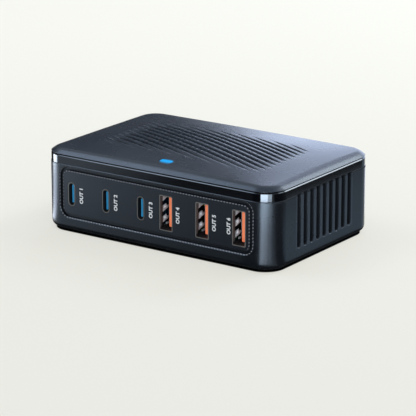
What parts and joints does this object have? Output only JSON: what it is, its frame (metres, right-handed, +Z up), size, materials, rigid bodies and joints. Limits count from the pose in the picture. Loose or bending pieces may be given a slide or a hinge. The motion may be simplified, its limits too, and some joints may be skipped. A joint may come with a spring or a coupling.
{
  "type": "desktop usb charger",
  "caption": "Low rounded desktop mains charger with upright type C and type A sockets in a front panel, a grooved crowned cover, ribbed sides and a figure-eight inlet.",
  "frame": {"origin": "middle of the rest plane, under the middle of the body", "axes": "+X to the right across the front panel, -Y out of the front panel, +Z up"},
  "size_m": [0.102, 0.0674, 0.0333],
  "materials": {
    "housing_plastic": "satin",
    "cover_plastic": "satin",
    "panel_plastic": "fine matte",
    "band_gloss": "polished",
    "socket_steel": "plated",
    "tongue_blue": "satin",
    "tongue_orange": "satin",
    "contact_gold": "plated",
    "light_blue": "clear, lit",
    "led_package": "clear",
    "board_green": "solder mask",
    "screw_steel": "plain",
    "chip_black": "moulded",
    "inlet_black": "moulded",
    "pin_brass": "plated",
    "fuse_brown": "moulded",
    "disc_blue": "dipped",
    "ferrite": "plain",
    "copper_wire": "enamelled",
    "film_yellow": "moulded",
    "tape_yellow": "taped",
    "bobbin_black": "moulded",
    "can_aluminium": "plain",
    "can_sleeve": "sleeved",
    "sheet_aluminium": "plain",
    "pad_grey": "soft",
    "film_clear": "film",
    "foot_rubber": "matt"
  },
  "bodies": {
    "root": {"lower_housing": "housing_plastic", "trim_band": "band_gloss", "top_cover": "cover_plastic", "port_panel": "panel_plastic", "light_pipe": "light_blue", "status_led": "led_package", "main_board": "board_green", "board_screws": "screw_steel", "daughter_board": "board_green", "control_chip": "chip_black", "mains_inlet": "inlet_black", "inlet_pins": "pin_brass", "fuse": "fuse_brown", "varistor": "disc_blue", "choke_core": "ferrite", "choke_windings": "copper_wire", "x_capacitor": "film_yellow", "y_capacitor": "disc_blue", "heat_sink": "sheet_aluminium", "bridge_rectifier": "chip_black", "gan_switch": "chip_black", "transformer_base": "bobbin_black", "transformer_core": "ferrite", "transformer_winding": "tape_yellow", "boost_base": "bobbin_black", "boost_core": "ferrite", "boost_winding": "copper_wire", "output_capacitors": "can_aluminium", "buck_inductors": "ferrite", "port_controllers": "chip_black", "upper_heat_spreader": "sheet_aluminium", "thermal_pads": "pad_grey", "lower_heat_spreader": "sheet_aluminium", "insulation_sheet": "film_clear", "usb_c_shell_1": "socket_steel", "usb_c_body_1": "tongue_blue", "usb_c_contacts_1": "contact_gold", "usb_a_shell_1": "socket_steel", "usb_a_body_1": "tongue_orange", "usb_a_contacts_1": "contact_gold", "usb_c_shell_2": "socket_steel", "usb_c_body_2": "tongue_blue", "usb_c_contacts_2": "contact_gold", "usb_a_shell_2": "socket_steel", "usb_a_body_2": "tongue_orange", "usb_a_contacts_2": "contact_gold", "usb_c_shell_3": "socket_steel", "usb_c_body_3": "tongue_blue", "usb_c_contacts_3": "contact_gold", "usb_a_shell_3": "socket_steel", "usb_a_body_3": "tongue_orange", "usb_a_contacts_3": "contact_gold", "bulk_capacitor_1": "can_sleeve", "bulk_capacitor_2": "can_sleeve", "rubber_foot_1": "foot_rubber", "rubber_foot_2": "foot_rubber", "rubber_foot_3": "foot_rubber", "rubber_foot_4": "foot_rubber"}
  },
  "joints": []
}
